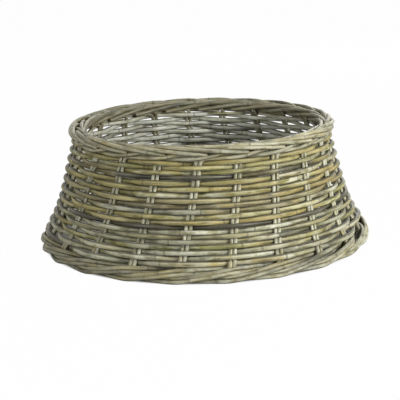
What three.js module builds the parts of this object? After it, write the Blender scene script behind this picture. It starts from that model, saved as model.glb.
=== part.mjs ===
// A woven rattan collar that hides a christmas tree stand.
// It is an open, flared ring: pairs of upright stakes, plain-woven with long weavers.
// Each stake is one rod. Both of its ends are turned and laid into a rolled border,
// one round the rim and one round the foot. Nothing on the collar moves.
// Millimetres, +Z up, origin at the centre of the ring on the floor, front towards -Y.

import * as THREE from 'three';

// Driving sizes of the collar. The line radii are those of the stakes' centres.
const collarHeight = 220;
const rimLineRadius = 221;
const footLineRadius = 284.4;
const pairCount = 21;
// The top of a pair stands this share of a space ahead of its foot, and the foot of the first
// pair this share of a space from the front
const leanShare = 0.51;
const frontShare = -0.54;

// Rods and the room between them
const stakeDiameter = 5.8;
const weaverDiameter = 7.8;
const rodSides = 5;
const pairGap = 1.5;
const borderClearance = 0.5;
const weaveClearance = 0.4;
const rowClearance = 0.3;
const spliceGap = 0.6;

// The wall's flare between the two borders: how high up the collar each point is, and how far
// out it is between the rim line and the foot line
const flareShares = [
  { height: 0.114, outward: 0.98 },
  { height: 0.168, outward: 0.855 },
  { height: 0.364, outward: 0.55 },
  { height: 0.659, outward: 0.243 },
  { height: 0.836, outward: 0.084 },
];

// A turned-down end on its way through a border. Along: shares of the space to the next pair.
// Out: rod pitches outside the border's line. In: rod pitches away from the border's edge.
// At the foot, both ends of a pair lie alike, the right one a pitch above the left one. They are
// tucked in behind the stakes, between two pairs, and stop behind a pair.
const footRunShares = [
  { along: 0.18, out: 0, in: 0 },
  { along: 0.55, out: 0.55, in: 0 },
  { along: 1.12, out: 1.6, in: 0.35 },
  { along: 1.45, out: 2.2, in: 1.2 },
  { along: 1.84, out: 2.1, in: 2.35 },
  { along: 2.12, out: 1.2, in: 2.35 },
  { along: 2.8, out: -1.4, in: 1.6 },
  { along: 3.2, out: -1.4, in: 1.6 },
];
// At the rim, the left end climbs over the border and comes down outside it, and the right end
// climbs below it, outside too, and comes down inside the collar
const rimLeftRunShares = [
  { along: 0.17, out: 0.52, in: 2.58 },
  { along: 0.5, out: 0.57, in: 2.5 },
  { along: 1, out: 0.78, in: 1.75 },
  { along: 1.5, out: 0.89, in: 0.43 },
  { along: 1.8, out: 1.09, in: 0 },
  { along: 2.1, out: 1.4, in: 0 },
  { along: 2.5, out: 1.93, in: 0.24 },
  { along: 3, out: 2.3, in: 0.71 },
  { along: 3.4, out: 2.49, in: 1.14 },
];
const rimRightRunShares = [
  { along: 0.17, out: 0.84, in: 3.6 },
  { along: 0.5, out: 1.35, in: 3.28 },
  { along: 1, out: 1.63, in: 2.44 },
  { along: 1.5, out: 1.19, in: 1.53 },
  { along: 1.8, out: 0.68, in: 0.99 },
  { along: 2.1, out: 0.12, in: 0.64 },
  { along: 2.5, out: -0.44, in: 0.53 },
  { along: 3, out: -0.89, in: 0.81 },
  { along: 3.4, out: -1.16, in: 1.16 },
];
// A stake's bend, in shares of its diameter: how far before the run it starts, and its middle
const bendStartShare = 1.17;
const bendMiddleShare = 0.37;

// How far the middles of the lowest and highest rows stand off the borders' innermost rods, in
// shares of a weaver's diameter
const footRoomShare = 0.506;
const rimRoomShare = 0.61;
// The rows aren't quite even. Place: how far up the rows a row is. Value: how far up the weave.
const rowSpreadShares = [
  { place: 0, value: 0 },
  { place: 0.21, value: 0.2075 },
  { place: 0.421, value: 0.3975 },
  { place: 0.632, value: 0.617 },
  { place: 0.842, value: 0.854 },
  { place: 1, value: 1 },
];

// The weavers share the weave's length. Each holds its level a little past a stake's centre.
const weaverCount = 14;
const holdShare = 0.53;
// The rows lie level, and climb to the next row over these spaces at the back of the collar,
// just before the pair where the weave starts
const climbSpaces = 4;
const startPair = 12;

// Worked out from the sizes above
const stakeRadius = stakeDiameter / 2;
const stakeFlat = stakeRadius * Math.cos(Math.PI / rodSides);
const weaverRadius = weaverDiameter / 2;
const weaverFlat = weaverRadius * Math.cos(Math.PI / rodSides);
const borderPitch = stakeDiameter + borderClearance;
const halfPair = (stakeDiameter + pairGap) / 2;
const spacing = (2 * Math.PI) / pairCount;
const footDepth = stakeFlat + borderPitch * (1 + deepest(footRunShares)) + stakeRadius;
const rimDepth = stakeFlat + borderPitch * deepest(rimRightRunShares) + stakeRadius;
const bendStart = bendStartShare * stakeDiameter;
const bendMiddle = bendMiddleShare * stakeDiameter;

// Tones of the weathered rattan
const tones = {
  pale: new THREE.MeshStandardMaterial({ color: 0xb9ab8a, roughness: 0.6, metalness: 0 }),
  straw: new THREE.MeshStandardMaterial({ color: 0xa4935c, roughness: 0.5, metalness: 0 }),
  olive: new THREE.MeshStandardMaterial({ color: 0x8c8663, roughness: 0.55, metalness: 0 }),
  grey: new THREE.MeshStandardMaterial({ color: 0x9a977f, roughness: 0.6, metalness: 0 }),
  dark: new THREE.MeshStandardMaterial({ color: 0x55504a, roughness: 0.5, metalness: 0 }),
};
// Weaver tones from the foot up, repeated if there are more weavers
const weaverTones = [
  'grey', 'grey', 'olive', 'grey', 'grey', 'dark', 'straw',
  'grey', 'dark', 'olive', 'straw', 'dark', 'olive', 'straw',
];

// The line of the stakes' centres up the wall. Place: height. Value: radius.
const wallLine = [
  { place: stakeFlat + bendStart, value: footLineRadius },
  ...flareShares.map((share) => ({
    place: share.height * collarHeight,
    value: THREE.MathUtils.lerp(rimLineRadius, footLineRadius, share.outward),
  })),
  { place: collarHeight - stakeFlat - borderPitch - bendStart, value: rimLineRadius },
];

function deepest(runShares) {
  return Math.max(...runShares.map((share) => share.in));
}

// The value that a line of points has at a place
function readLine(points, place) {
  const found = points.findIndex((point) => point.place >= place);
  const next = found < 0 ? points.length - 1 : Math.max(found, 1);
  const before = points[next - 1];
  const after = points[next];
  const share = (place - before.place) / (after.place - before.place);
  return THREE.MathUtils.lerp(before.value, after.value, THREE.MathUtils.clamp(share, 0, 1));
}

function wallRadius(height) {
  return readLine(wallLine, height);
}

// How far round a pair has leaned at a height
function leanAngle(height) {
  return (leanShare * spacing * height) / collarHeight;
}

function onRing(angle, radius, height) {
  return new THREE.Vector3(radius * Math.sin(angle), -radius * Math.cos(angle), height);
}

// A rod's centre line through given stations. The section keeps one flat facing along the
// collar's axis, and it is mitred at each station so that the rod keeps its thickness.
class RodPath extends THREE.Curve {
  constructor(stations) {
    super();
    this.stations = stations;
  }

  getSpacedPoints() {
    return this.stations;
  }

  computeFrenetFrames() {
    const runs = this.stations.slice(1).map((end, i) => end.clone().sub(this.stations[i]).normalize());
    const frames = { tangents: [], normals: [], binormals: [] };
    this.stations.forEach((station, i) => {
      const arriving = runs[Math.max(i - 1, 0)];
      const leaving = runs[Math.min(i, runs.length - 1)];
      const tangent = arriving.clone().add(leaving).normalize();
      const outward = new THREE.Vector3(station.x, station.y, 0).projectOnPlane(tangent).normalize();
      const across = tangent.clone().cross(outward);
      const bend = leaving.clone().sub(arriving);
      const stretch = 1 / tangent.dot(leaving) - 1;
      const bendDirection = bend.clone().normalize();
      frames.tangents.push(tangent);
      frames.normals.push(outward.addScaledVector(bendDirection, outward.dot(bendDirection) * stretch));
      frames.binormals.push(across.addScaledVector(bendDirection, across.dot(bendDirection) * stretch));
    });
    return frames;
  }
}

// A rod's section, a regular polygon with a flat at the bottom
function rodSection(radius) {
  const corners = Array.from({ length: rodSides }, (unused, i) => {
    const angle = (2 * Math.PI * (i + 1 / 2)) / rodSides - Math.PI / 2;
    return new THREE.Vector2(radius * Math.cos(angle), radius * Math.sin(angle));
  });
  return new THREE.Shape(corners);
}

function rodGeometry(stations, radius) {
  return new THREE.ExtrudeGeometry(rodSection(radius), {
    steps: stations.length - 1,
    extrudePath: new RodPath(stations),
  });
}

// A border is described by its edge, the way from the edge into the wall, its line radius, and
// the ways of its left and right ends
const footBorder = {
  edge: stakeFlat,
  inward: 1,
  lineRadius: footLineRadius,
  angle: leanAngle(0),
  left: footRunShares,
  right: footRunShares.map((share) => ({ ...share, in: share.in + 1 })),
};
const rimBorder = {
  edge: collarHeight - stakeFlat,
  inward: -1,
  lineRadius: rimLineRadius,
  angle: leanAngle(collarHeight),
  left: rimLeftRunShares,
  right: rimRightRunShares,
};

// The stations of one turned end, from its bend to its tip
function borderEnd(border, side) {
  const { edge, inward, lineRadius, angle } = border;
  const run = side < 0 ? border.left : border.right;
  const level = edge + inward * run[0].in * borderPitch;
  const start = level + inward * bendStart;
  const middle = level + inward * bendMiddle;
  const bend = side * halfPair + bendMiddle;
  return [
    onRing(leanAngle(start) + (side * halfPair) / lineRadius, wallRadius(start), start),
    onRing(leanAngle(middle) + bend / lineRadius, wallRadius(middle), middle),
    ...run.map((share) => onRing(
      angle + share.along * spacing,
      lineRadius + share.out * borderPitch,
      edge + inward * share.in * borderPitch,
    )),
  ];
}

// One stake of the first pair. Side -1 is the left rod, and 1 the right rod.
function stakeGeometry(side) {
  const wall = wallLine.slice(1, -1).map(({ place, value }) => onRing(
    leanAngle(place) + (side * halfPair) / value,
    value,
    place,
  ));
  const stations = [
    ...borderEnd(footBorder, side).reverse(),
    ...wall,
    ...borderEnd(rimBorder, side),
  ];
  return rodGeometry(stations, stakeRadius);
}

function twoDigits(number) {
  return String(number).padStart(2, '0');
}

function makeStakes() {
  const stakes = new THREE.Group();
  const sides = { left: stakeGeometry(-1), right: stakeGeometry(1) };
  for (let pair = 0; pair < pairCount; pair += 1) {
    const holder = new THREE.Group();
    holder.rotation.z = pair * spacing;
    for (const [side, geometry] of Object.entries(sides)) {
      const stake = new THREE.Mesh(geometry, tones.pale.clone());
      stake.name = `stake_${twoDigits(pair + 1)}_${side}`;
      holder.add(stake);
    }
    stakes.add(holder);
  }
  return stakes;
}

// The weave is one spiral from the foot border to the rim border, cut into long weavers
const weaveBottom = footDepth + footRoomShare * weaverDiameter;
const weaveTop = collarHeight - rimDepth - rimRoomShare * weaverDiameter;
const tightestSpread = Math.min(...rowSpreadShares.slice(1).map((share, i) => (
  (share.value - rowSpreadShares[i].value) / (share.place - rowSpreadShares[i].place)
)));
const tightestPitch = weaverRadius + weaverFlat + rowClearance;
const climbCount = Math.floor(((weaveTop - weaveBottom) * tightestSpread) / tightestPitch);
const spaceCount = (climbCount + 1) * pairCount - climbSpaces;

function weaveHeight(space) {
  const turn = Math.floor(space / pairCount);
  const level = pairCount - climbSpaces;
  const climbed = Math.max(space - turn * pairCount - level, 0) / climbSpaces;
  const share = readLine(rowSpreadShares, (turn + climbed) / climbCount);
  return THREE.MathUtils.lerp(weaveBottom, weaveTop, share);
}

// Where the weave passes a crossing, square to the wall: an even one inside its pair, an odd one
// outside it. The offset is measured round the ring from the middle of the pair.
function weaveStation(crossing, offset) {
  const level = weaveHeight(crossing);
  const turned = offset / wallRadius(level);
  const height = weaveHeight(crossing + turned / spacing);
  const fall = wallRadius(height - weaverRadius) - wallRadius(height + weaverRadius);
  const slope = Math.atan2(fall, weaverDiameter);
  const side = crossing % 2 === 0 ? -1 : 1;
  const swing = side * (stakeRadius + weaverRadius + weaveClearance);
  return onRing(
    (startPair + crossing) * spacing + leanAngle(level) + turned,
    wallRadius(height) + swing * Math.cos(slope),
    height + swing * Math.sin(slope),
  );
}

function weaverGeometry(first, last) {
  const hold = halfPair + holdShare * stakeRadius;
  const stations = [weaveStation(first, spliceGap / 2), weaveStation(first, hold)];
  for (let crossing = first + 1; crossing < last; crossing += 1) {
    stations.push(weaveStation(crossing, -hold), weaveStation(crossing, hold));
  }
  stations.push(weaveStation(last, -hold), weaveStation(last, -spliceGap / 2));
  return rodGeometry(stations, weaverRadius);
}

// The crossing where a weaver starts, an even one, so that its ends are hidden inside
function firstCrossing(index) {
  return 2 * Math.round((index * spaceCount) / weaverCount / 2);
}

function makeWeavers() {
  const weavers = new THREE.Group();
  for (let index = 0; index < weaverCount; index += 1) {
    const first = firstCrossing(index);
    const last = index === weaverCount - 1 ? spaceCount : firstCrossing(index + 1);
    const tone = tones[weaverTones[index % weaverTones.length]];
    const weaver = new THREE.Mesh(weaverGeometry(first, last), tone.clone());
    weaver.name = `weaver_${twoDigits(index + 1)}`;
    weavers.add(weaver);
  }
  return weavers;
}

const collar = new THREE.Group();
collar.rotation.z = frontShare * spacing;
collar.add(makeStakes(), makeWeavers());

export default collar;
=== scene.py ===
"""Christmas tree collar: an open, flared ring of grey-washed woven rattan that stands on the floor.

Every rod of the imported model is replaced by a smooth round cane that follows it. Metres
throughout, in the model's frame: +Z up, -Y towards the photographed front, +X to the right seen
from there.
"""

from __future__ import annotations

import logging
import math
import random
from dataclasses import dataclass
from enum import Enum
from typing import Any, Iterator, Mapping, Sequence

import bmesh
import bpy
import numpy as np
from mathutils import Matrix, Vector

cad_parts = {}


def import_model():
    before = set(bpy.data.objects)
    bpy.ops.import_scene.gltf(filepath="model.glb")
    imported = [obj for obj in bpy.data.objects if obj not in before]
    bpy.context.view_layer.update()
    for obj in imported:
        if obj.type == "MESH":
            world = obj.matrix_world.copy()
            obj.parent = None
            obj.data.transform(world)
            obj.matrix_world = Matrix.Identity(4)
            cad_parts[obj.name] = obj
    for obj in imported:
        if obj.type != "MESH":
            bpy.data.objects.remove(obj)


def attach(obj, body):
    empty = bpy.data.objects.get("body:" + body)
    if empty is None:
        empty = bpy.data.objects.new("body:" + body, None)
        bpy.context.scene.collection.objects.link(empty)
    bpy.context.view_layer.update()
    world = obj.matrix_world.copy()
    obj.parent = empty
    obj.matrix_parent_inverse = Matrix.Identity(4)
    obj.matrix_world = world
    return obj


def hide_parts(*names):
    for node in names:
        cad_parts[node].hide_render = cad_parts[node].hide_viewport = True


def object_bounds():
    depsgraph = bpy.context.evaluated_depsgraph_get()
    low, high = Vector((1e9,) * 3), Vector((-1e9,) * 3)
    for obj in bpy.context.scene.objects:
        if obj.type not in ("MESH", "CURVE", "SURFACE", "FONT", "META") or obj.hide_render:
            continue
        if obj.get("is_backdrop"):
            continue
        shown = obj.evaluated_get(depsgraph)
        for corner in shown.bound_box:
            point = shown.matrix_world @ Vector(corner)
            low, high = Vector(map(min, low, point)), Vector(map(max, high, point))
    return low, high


LOG = logging.getLogger("collar")
Triple = tuple[float, float, float]
Pair = tuple[float, float]
Tone = tuple[float, float, float, float]
MEAN_RADIUS = 0.25
"""About how far the rods are from the collar's axis, which turns angles into lengths."""
MILLIMETRES = 1000.0
"""How many there are in a metre."""
UP = (0.0, 0.0, 1.0)
ANGLE, RADIUS, HEIGHT = range(3)
"""The columns of a line's points round the collar."""
SMOKE, WARM, WASH, SHADE = range(4)
"""The columns of a cane's tone."""


def linear(red: int, green: int, blue: int) -> Triple:
    """Turn a screen colour into the linear one that a shader takes.

    Args:
        red: Red, from 0 to 255.
        green: Green, from 0 to 255.
        blue: Blue, from 0 to 255.

    Returns:
        The three linear channels.
    """
    return tuple(
        c / 12.92 if c <= 0.04045 else ((c + 0.055) / 1.055) ** 2.4
        for c in (v / 255 for v in (red, green, blue))
    )


def ramp(values: np.ndarray, low: float, high: float) -> np.ndarray:
    """How far values are on the way from low to high, held between 0 and 1.

    Args:
        values: The values.
        low: Where the result is 0.
        high: Where the result is 1, which may lie below low.

    Returns:
        The shares.
    """
    return np.clip((values - low) / (high - low), 0, 1)


# Shader maths.


class Signal:
    """A node's output socket that takes part in Python arithmetic."""

    def __init__(self, board: "Board", socket: bpy.types.NodeSocket | None) -> None:
        """Wrap one socket.

        Args:
            board: The board that the socket's node is on.
            socket: The output socket, or None where the node has none.
        """
        self.board = board
        self.socket = socket

    def _math(self, operation: str, first: Any, second: Any = None, clamp: bool = False) -> "Signal":
        """Add a Math node.

        Args:
            operation: What it does.
            first: A signal or a number.
            second: Another, or None where it takes only one.
            clamp: Whether the result is held between 0 and 1.

        Returns:
            The result.
        """
        values = {0: first} if second is None else {0: first, 1: second}
        return self.board.node(
            "ShaderNodeMath", {"operation": operation, "use_clamp": clamp}, values
        )

    def __add__(self, other: Any) -> "Signal":
        """Self plus other."""
        return self._math("ADD", self, other)

    __radd__ = __add__

    def __mul__(self, other: Any) -> "Signal":
        """Self times other."""
        return self._math("MULTIPLY", self, other)

    __rmul__ = __mul__

    def __sub__(self, other: Any) -> "Signal":
        """Self less other."""
        return self._math("SUBTRACT", self, other)

    def __rsub__(self, other: Any) -> "Signal":
        """Other less self."""
        return self._math("SUBTRACT", other, self)

    def size(self) -> "Signal":
        """Self without its sign."""
        return self._math("ABSOLUTE", self)

    def held(self) -> "Signal":
        """Self held between 0 and 1."""
        return self._math("ADD", self, 0.0, clamp=True)

    def band(self, low: float, high: float) -> "Signal":
        """Self eased from 0 at low to 1 at high.

        Args:
            low: Where the result is 0.
            high: Where the result is 1, which may lie below low.

        Returns:
            The eased signal.
        """
        return self.board.node(
            "ShaderNodeMapRange",
            {"interpolation_type": "SMOOTHSTEP"},
            {"Value": self, "From Min": low, "From Max": high},
        )


class Board:
    """The node tree of one material or of the world."""

    def __init__(self, tree: bpy.types.NodeTree) -> None:
        """Clear a tree and take it over."""
        tree.nodes.clear()
        self.tree = tree

    def node(
        self,
        kind: str,
        settings: Mapping[str, Any] | None = None,
        inputs: Mapping[str | int, Any] | None = None,
        output: str | int = 0,
    ) -> Signal:
        """Add any node.

        Args:
            kind: The node's type.
            settings: Its own settings, set first.
            inputs: Values or signals for its sockets, by name or place.
            output: The output that the signal stands for.

        Returns:
            The chosen output.
        """
        made = self.tree.nodes.new(kind)
        for name, value in (settings or {}).items():
            setattr(made, name, value)
        for name, value in (inputs or {}).items():
            socket = made.inputs[name]
            if isinstance(value, Signal):
                self.tree.links.new(value.socket, socket)
            elif isinstance(value, tuple) and socket.type == "RGBA":
                socket.default_value = (*value, 1.0)
            else:
                socket.default_value = value
        return Signal(self, made.outputs[output] if made.outputs else None)

    def mix(self, factor: Any, first: Any, second: Any, blend: str = "MIX") -> Signal:
        """Mix two colours.

        Args:
            factor: How much of the second colour shows.
            first: The colour below.
            second: The colour on top.
            blend: The way they mix.

        Returns:
            The mixed colour.
        """
        settings = {"data_type": "RGBA", "blend_type": blend, "clamp_factor": True}
        return self.node("ShaderNodeMix", settings, {0: factor, 6: first, 7: second}, output=2)

    def split(self, vector: Signal) -> tuple["Signal", ...]:
        """Take a vector apart into its three parts."""
        node = self.node("ShaderNodeSeparateXYZ", None, {0: vector}).socket.node
        return tuple(Signal(self, output) for output in node.outputs)


def part(shares: Pair, noise: Signal) -> Signal:
    """How much of something shows: the first share always, the second by a noise."""
    return shares[0] + shares[1] * noise


@dataclass(frozen=True)
class Grain:
    """A noise that runs along the canes.

    Attributes:
        along: Features per metre along a cane.
        across: Features per metre across it.
        detail: How many finer layers it has.
        roughness: How strong each finer layer is.
        MIDDLE: The value that it wanders about.
    """

    MIDDLE = 0.5

    along: float
    across: float
    detail: float
    roughness: float = 0.55

    def at(self, board: Board, place: Signal) -> Signal:
        """Read the noise, from 0 to 1.

        Args:
            board: The board that it is read on.
            place: Where it is read.

        Returns:
            The noise.
        """
        stretch = (self.along, self.across, self.across)
        spread = board.node(
            "ShaderNodeVectorMath", {"operation": "MULTIPLY"}, {0: place, 1: stretch}
        )
        return board.node(
            "ShaderNodeTexNoise",
            {"noise_dimensions": "3D"},
            {"Vector": spread, "Scale": 1.0, "Detail": self.detail, "Roughness": self.roughness},
        )


# Finishes.


class Slot(Enum):
    """The material slots of the record."""

    STAKE = "stake_rattan"
    STRAW = "straw_rattan"
    OLIVE = "olive_rattan"
    GREY = "grey_rattan"
    DARK = "dark_rattan"


class Mark(Enum):
    """The attributes that a cane's surface carries for its finish."""

    PLACE = "cane_place"
    TONE = "cane_tone"
    SHADE = "cane_shade"
    KNOT = "cane_knot"
    CUT = "cane_cut"


class CaneReading:
    """What a cane's skin depends on: its own attributes, and noises that run along it.

    Attributes:
        INNER_RISE: How fast the inner side comes up across the section, for each metre.
        smoke: How far it is stained dark.
        warm: How far it is sunned.
        wash: How thick its pale wash is.
        shade: How much lighter it is, or darker where negative.
        inner: 1 on the side that faces the collar's inside.
        side: How far up or down its section a point lies, in metres.
        knot: How far the nearest growth ring is, in millimetres.
        cut: 1 on its cut ends.
        fibres: Fine fibres.
        streaks: Broader streaks.
        patches: Patches of wash and dirt.
        mottle: Small changes of light and dark.
        drift: Slow changes of light and dark.
        specks: Fine specks.
        checks: Fine cracks across the skin.
    """

    INNER_RISE = -300.0

    def __init__(self, board: Board) -> None:
        """Read all of them.

        Args:
            board: The board that they are read on.
        """

        def read(mark: Mark, output: str = "Fac") -> Signal:
            """Read one of the canes' attributes."""
            return board.node("ShaderNodeAttribute", {"attribute_name": mark.value}, None, output)

        place = read(Mark.PLACE, "Vector")
        self.smoke, self.warm, self.wash = board.split(read(Mark.TONE, "Vector"))
        self.shade = read(Mark.SHADE)
        _, out, up = board.split(place)
        self.inner = (out * self.INNER_RISE).held()
        self.side = up.size()
        self.knot = read(Mark.KNOT)
        self.cut = read(Mark.CUT)
        self.fibres = Grain(18.0, 900.0, 4.0).at(board, place)
        self.streaks = Grain(26.0, 250.0, 3.0).at(board, place)
        self.patches = Grain(52.0, 140.0, 4.0).at(board, place)
        self.mottle = Grain(170.0, 260.0, 2.0).at(board, place)
        self.drift = Grain(11.0, 40.0, 2.0).at(board, place)
        self.specks = Grain(700.0, 1500.0, 2.0).at(board, place)
        self.checks = Grain(1100.0, 90.0, 2.0).at(board, place)


@dataclass(frozen=True)
class SkinLook:
    """How the parts of a cane's skin show, the same in all finishes.

    An edge is where something starts in a noise, and where it is full. A share is the part of
    something that always shows, and the part that a noise adds.

    Attributes:
        skin_edge: In the fibres, from their colour to the skin's.
        sun_edge: In the streaks, from plain to sunned.
        sun_share: The sun's share by those streaks.
        sun_drift: The sun's share by the slow drift.
        film_edge: In the patches, from bare to washed.
        film_share: The wash's share by the fibres.
        inner_tint_and_shade_share: The share of the inside colour by the patches.
        smoke_edge: In the streaks, from less to more stained.
        smoke_share: The stain's share by those streaks.
        grime_edge: In the streaks, from clean to dirty.
        grime_patch_edge: In the patches, from clean to dirty.
        grime: How thick the dirt lies.
        check_edge: In the fine cracks, from whole to cracked.
        check: How dark they are.
        speck_edge: In the specks, from clean to dark.
        speck: How dark they are.
        shade_light: How far the cane's own shade lightens it.
        drift_light: How far the slow drift does.
        streak_light: How far the streaks do.
        mottle_light: How far the mottle does.
        ring_line: How far a growth ring's line is from its middle, in millimetres.
        ring_edge: How far from that line its colour starts and is full, in millimetres.
        ring_share: The line's share by the patches.
        ring: How dark it is.
        edge_shade_band: Where, up or down the section, the painted edge shade starts and is full, in
            metres.
        edge_shade_share: The painted edge shade's share by the streaks.
        pore_edge: In the specks, from a cut end's pith to its pores.
        rough: How rough the clean skin is.
        film_rough: How much rougher the wash is.
        streak_rough: How much rougher the streaks are.
        smoke_smooth: How much smoother the stain is.
        cut_rough: How much rougher a cut end is.
        fibre_rise: How high the fibres stand, as a share of the relief, as for the next three.
        speck_rise: How high the specks stand.
        ring_dip: How deep a growth ring's line is.
        check_dip: How deep the fine cracks are.
        relief: The depth that these are shares of, in metres.
        bump: How strongly the light shows it.
        specular: How strongly the skin mirrors.
        coat: How much clear skin lies over it.
        coat_rough: How rough that is.
    """

    skin_edge: Pair = (0.36, 0.64)
    sun_edge: Pair = (0.3, 0.62)
    sun_share: Pair = (0.35, 0.65)
    sun_drift: Pair = (0.6, 0.8)
    film_edge: Pair = (0.34, 0.60)
    film_share: Pair = (0.5, 0.5)
    inner_tint_and_shade_share: Pair = (0.35, 0.5)
    smoke_edge: Pair = (0.62, 0.34)
    smoke_share: Pair = (0.82, 0.3)
    grime_edge: Pair = (0.56, 0.36)
    grime_patch_edge: Pair = (0.62, 0.40)
    grime: float = 0.6
    check_edge: Pair = (0.70, 0.80)
    check: float = 0.35
    speck_edge: Pair = (0.63, 0.74)
    speck: float = 0.35
    shade_light: float = 0.36
    drift_light: float = 0.6
    streak_light: float = 0.3
    mottle_light: float = 0.45
    ring_line: float = 0.9
    ring_edge: Pair = (0.75, 0.15)
    ring_share: Pair = (0.6, 0.7)
    ring: float = 0.85
    edge_shade_band: Pair = (0.002643, 0.003857)
    edge_shade_share: Pair = (0.5, 0.5)
    pore_edge: Pair = (0.5, 0.62)
    rough: float = 0.46
    film_rough: float = 0.16
    streak_rough: float = 0.12
    smoke_smooth: float = 0.06
    cut_rough: float = 0.3
    fibre_rise: float = 0.7
    speck_rise: float = 0.25
    ring_dip: float = 1.4
    check_dip: float = 0.5
    relief: float = 0.00035
    bump: float = 0.5
    specular: float = 0.4
    coat: float = 0.2
    coat_rough: float = 0.3


@dataclass(frozen=True)
class CaneFinish:
    """The grey-washed skin of one kind of rattan cane.

    Attributes:
        slot: The slot that it finishes.
        skin: The cane's own colour.
        fibre: The darker colour of its fibres.
        warm: The colour of its sunned stretches.
        wash: The pale wash that lies on it.
        stain: The dark stain of its smoked stretches.
        inside: The colour of the side that faces the collar's inside: paler and greyer on the
            weavers, painted shade on the stakes.
        grime: The dirt between the streaks.
        scar: The colour of a growth ring's line.
        painted_edge_shade: Painted shade along a rod's upper and lower edges, where rods lie on each
            other.
        pith: The light colour of a cut end.
        pores: The dark colour of a cut end.
        look: How all of these show.
    """

    slot: Slot
    skin: Triple
    fibre: Triple
    warm: Triple = linear(172, 154, 96)
    wash: Triple = linear(204, 204, 184)
    stain: Triple = linear(50, 50, 46)
    inside: Triple = linear(202, 206, 198)
    grime: Triple = linear(74, 66, 40)
    scar: Triple = linear(48, 38, 26)
    painted_edge_shade: Triple = linear(44, 41, 28)
    pith: Triple = linear(150, 132, 94)
    pores: Triple = linear(74, 58, 38)
    look: SkinLook = SkinLook()

    def weathered(self, board: Board, cane: CaneReading, film: Signal) -> Signal:
        """Colour the skin with sun, wash, smoke and dirt.

        Args:
            board: The material's board.
            cane: What the skin depends on.
            film: How thick the wash lies.

        Returns:
            The colour before light and dark are laid over it.
        """
        look = self.look
        colour = board.mix(cane.fibres.band(*look.skin_edge), self.fibre, self.skin)
        sunned = cane.warm * part(look.sun_share, cane.streaks.band(*look.sun_edge))
        sunned = sunned * part(look.sun_drift, cane.drift)
        colour = board.mix(sunned.held(), colour, self.warm)
        colour = board.mix(film.held(), colour, self.wash)
        # The side facing the collar's inside takes the inside colour: paler on the weavers, painted
        # shade on the stakes.
        inner_tint_and_shade = cane.inner * part(look.inner_tint_and_shade_share, cane.patches)
        colour = board.mix(inner_tint_and_shade, colour, self.inside)
        smoke = cane.smoke * part(look.smoke_share, cane.streaks.band(*look.smoke_edge))
        colour = board.mix(smoke.held(), colour, self.stain)
        grime = cane.streaks.band(*look.grime_edge) * cane.patches.band(*look.grime_patch_edge)
        colour = board.mix(grime * look.grime, colour, self.grime)
        cracks = cane.checks.band(*look.check_edge) * look.check
        colour = board.mix(cracks, colour, self.fibre, "MULTIPLY")
        return board.mix(cane.specks.band(*look.speck_edge) * look.speck, colour, self.fibre)

    def shaded(self, board: Board, cane: CaneReading, colour: Signal) -> Signal:
        """Lay light and dark over a colour.

        Args:
            board: The material's board.
            cane: What the skin depends on.
            colour: The weathered colour.

        Returns:
            The lit or darkened colour.
        """
        look = self.look
        light = 1.0 + look.shade_light * cane.shade
        for noise, swing in (
            (cane.drift, look.drift_light),
            (cane.streaks, look.streak_light),
            (cane.mottle, look.mottle_light),
        ):
            light = light + swing * (noise - Grain.MIDDLE)
        return board.node(
            "ShaderNodeVectorMath", {"operation": "SCALE"}, {0: colour, "Scale": light}
        )

    def marked(self, board: Board, cane: CaneReading, colour: Signal, line: Signal) -> Signal:
        """Draw growth rings, painted shade along the rods' edges and cut ends on a colour.

        Args:
            board: The material's board.
            cane: What the skin depends on.
            colour: The shaded colour.
            line: Where the lines of the growth rings are.

        Returns:
            The finished colour.
        """
        look = self.look
        scar = (line * part(look.ring_share, cane.patches)).held()
        colour = board.mix(scar * look.ring, colour, self.scar)
        # Painted shade: each rod darkens towards its upper and lower edges, where it meets the next.
        painted_edge_shade = cane.side.band(*look.edge_shade_band) * part(look.edge_shade_share, cane.streaks)
        colour = board.mix(painted_edge_shade.held(), colour, self.painted_edge_shade)
        pith = board.mix(cane.specks.band(*look.pore_edge), self.pith, self.pores)
        return board.mix(cane.cut, colour, pith)

    def material(self) -> bpy.types.Material:
        """Build the material.

        Returns:
            A material that reads the canes' own attributes.
        """
        look = self.look
        made = bpy.data.materials.new(f"cane_{self.slot.value}")
        made.use_nodes = True
        board = Board(made.node_tree)
        cane = CaneReading(board)
        film = cane.wash * cane.patches.band(*look.film_edge) * part(look.film_share, cane.fibres)
        line = (cane.knot - look.ring_line).size().band(*look.ring_edge)
        colour = self.shaded(board, cane, self.weathered(board, cane, film))
        rough = look.rough + look.film_rough * film + look.streak_rough * cane.streaks
        rough = rough - look.smoke_smooth * cane.smoke + look.cut_rough * cane.cut
        height = cane.fibres * look.fibre_rise + cane.specks * look.speck_rise
        height = height - line * look.ring_dip
        height = height - cane.checks.band(*look.check_edge) * look.check_dip
        bump = board.node(
            "ShaderNodeBump",
            None,
            {"Strength": look.bump, "Distance": look.relief, "Height": height},
            "Normal",
        )
        shader = board.node(
            "ShaderNodeBsdfPrincipled",
            None,
            {
                "Base Color": self.marked(board, cane, colour, line),
                "Roughness": rough.held(),
                "Normal": bump,
                "Specular IOR Level": look.specular,
                "Coat Weight": look.coat,
                "Coat Roughness": look.coat_rough,
            },
        )
        board.node("ShaderNodeOutputMaterial", None, {"Surface": shader})
        return made


FINISHES = (
    # The stakes' dark inside colour is painted shade on their inner faces.
    CaneFinish(Slot.STAKE, linear(168, 166, 132), linear(112, 109, 80), inside=linear(96, 92, 74)),
    CaneFinish(Slot.STRAW, linear(168, 164, 90), linear(110, 107, 54)),
    CaneFinish(Slot.OLIVE, linear(150, 149, 82), linear(94, 93, 48)),
    CaneFinish(Slot.GREY, linear(158, 158, 120), linear(106, 105, 74)),
    CaneFinish(Slot.DARK, linear(158, 151, 94), linear(98, 93, 54)),
)


# Canes.


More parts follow.
